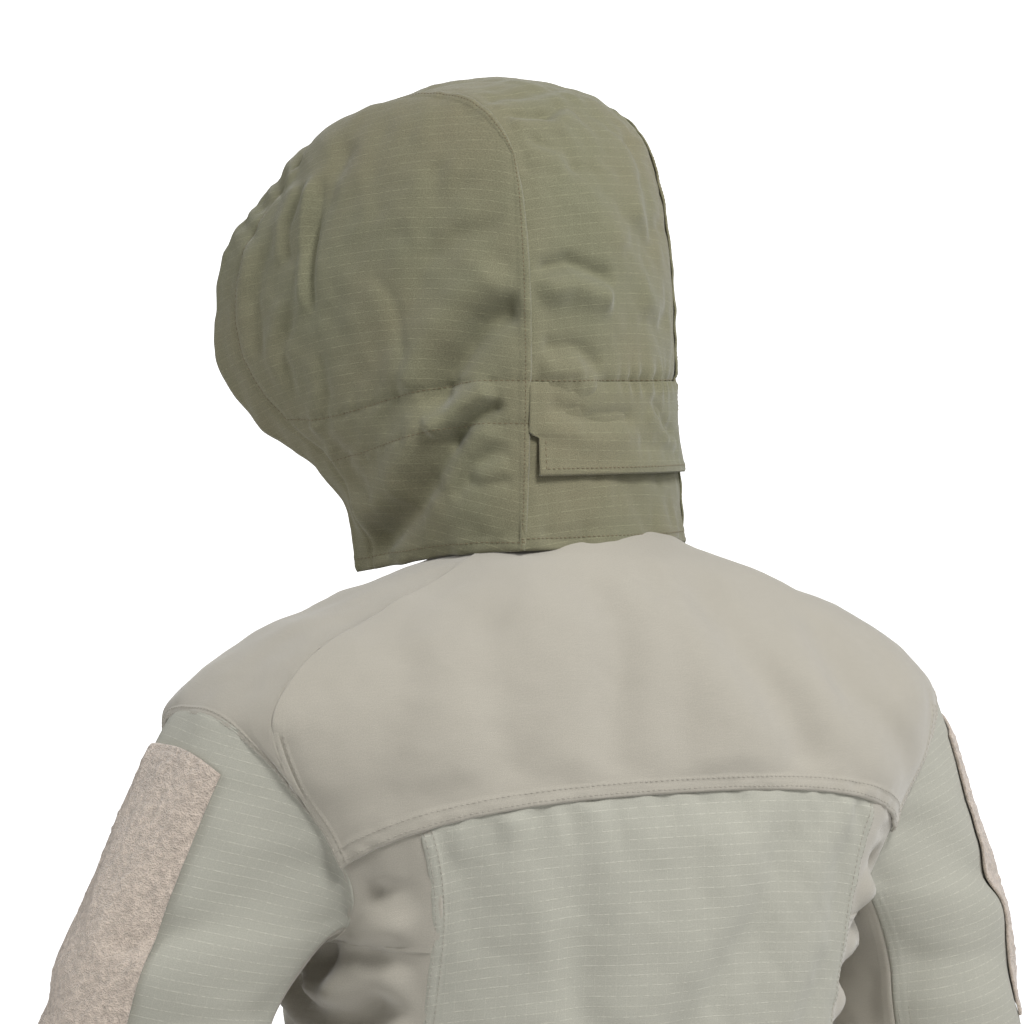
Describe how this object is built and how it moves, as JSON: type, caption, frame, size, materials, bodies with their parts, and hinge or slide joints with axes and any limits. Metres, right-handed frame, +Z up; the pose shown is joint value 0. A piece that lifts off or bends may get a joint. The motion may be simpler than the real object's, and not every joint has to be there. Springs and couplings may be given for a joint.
{
  "type": "hooded field jacket",
  "caption": "Light field jacket with a yoke, loop patches on the upper arms and a detachable three-panel hood with an elastic adjuster under a rear flap.",
  "frame": {"origin": "middle of the neck opening at the base of the wearer's neck, where the wearer's neck and shoulders hold the garment up", "axes": "+Z up, -Y the way the wearer faces, +X to the wearer's left"},
  "size_m": [0.772, 0.3751, 1.0095],
  "materials": {
    "hood_ripstop": "matt olive ripstop cotton blend with a fine raised grid",
    "jacket_ripstop": "matt pale sage ripstop with a fine raised grid",
    "jacket_twill": "smooth pale sand stretch twill with a slight sheen",
    "loop_pile": "plush tan loop pile",
    "elastic_webbing": "ribbed woven elastic",
    "zip_metal": "satin dark coated zip",
    "button_plastic": "satin moulded buttons"
  },
  "bodies": {
    "jacket": {"back_yoke": "jacket_twill", "centre_back_panel": "jacket_ripstop", "stand_collar": "jacket_twill", "shoulder_panel_left": "jacket_twill", "back_armhole_panel_left": "jacket_twill", "side_panel_left": "jacket_twill", "front_yoke_left": "jacket_twill", "zip_tape_left": "jacket_twill", "front_panel_left": "jacket_ripstop", "hem_band_left": "jacket_ripstop", "shoulder_panel_right": "jacket_twill", "back_armhole_panel_right": "jacket_twill", "side_panel_right": "jacket_twill", "front_yoke_right": "jacket_twill", "zip_tape_right": "jacket_twill", "front_panel_right": "jacket_ripstop", "hem_band_right": "jacket_ripstop", "zip_chain": "zip_metal", "collar_button_1": "button_plastic", "collar_button_2": "button_plastic", "collar_button_3": "button_plastic", "collar_button_4": "button_plastic", "collar_button_5": "button_plastic"},
    "hood": {"hood_centre_panel": "hood_ripstop", "hood_left_panel": "hood_ripstop", "hood_right_panel": "hood_ripstop", "face_facing_left": "hood_ripstop", "face_facing_right": "hood_ripstop", "face_facing_brow": "hood_ripstop", "hood_elastic_band": "elastic_webbing"},
    "rear_flap": {"hood_rear_flap": "hood_ripstop"},
    "zip_slider": {"zip_slider": "zip_metal"},
    "zip_pull": {"zip_pull": "zip_metal"},
    "sleeve_left": {"sleeve_left": "jacket_ripstop", "underarm_gusset_left": "jacket_twill", "cuff_left": "jacket_ripstop", "loop_patch_left": "loop_pile"},
    "cuff_tab_left": {"cuff_tab_left": "jacket_ripstop"},
    "sleeve_right": {"sleeve_right": "jacket_ripstop", "underarm_gusset_right": "jacket_twill", "cuff_right": "jacket_ripstop", "loop_patch_right": "loop_pile"},
    "cuff_tab_right": {"cuff_tab_right": "jacket_ripstop"}
  },
  "joints": [
    {"name": "hood_fold", "type": "hinge", "parent": "jacket", "child": "hood", "pos_m": [-0.02189, 0.06014, 0.004], "axis": [-0.9397, -0.342, 0], "range_deg": [0, 70]},
    {"name": "rear_flap_lift", "type": "hinge", "parent": "hood", "child": "rear_flap", "pos_m": [-0.02257, 0.06202, 0.101], "axis": [0.9397, 0.342, 0], "range_deg": [0, 90]},
    {"name": "zip_slide", "type": "slide", "parent": "jacket", "child": "zip_slider", "axis": [0, -0.0389, -0.9992], "range_m": [0, 0.46]},
    {"name": "zip_pull_swing", "type": "hinge", "parent": "zip_slider", "child": "zip_pull", "pos_m": [0, -0.1205, -0.1125], "axis": [1, 0, 0], "range_deg": [-120, 0]},
    {"name": "sleeve_left_raise", "type": "hinge", "parent": "jacket", "child": "sleeve_left", "pos_m": [0.262, 0.01, -0.104], "axis": [0, -1, 0], "range_deg": [0, 50]},
    {"name": "sleeve_right_raise", "type": "hinge", "parent": "jacket", "child": "sleeve_right", "pos_m": [-0.262, 0.01, -0.104], "axis": [0, 1, 0], "range_deg": [0, 50]},
    {"name": "cuff_tab_left_open", "type": "hinge", "parent": "sleeve_left", "child": "cuff_tab_left", "pos_m": [0.3765, -0.034, -0.676], "axis": [-0.1298, 0.4193, 0.8985], "range_deg": [0, 80]},
    {"name": "cuff_tab_right_open", "type": "hinge", "parent": "sleeve_right", "child": "cuff_tab_right", "pos_m": [-0.3765, -0.034, -0.676], "axis": [-0.1298, -0.4193, -0.8985], "range_deg": [0, 80]}
  ]
}
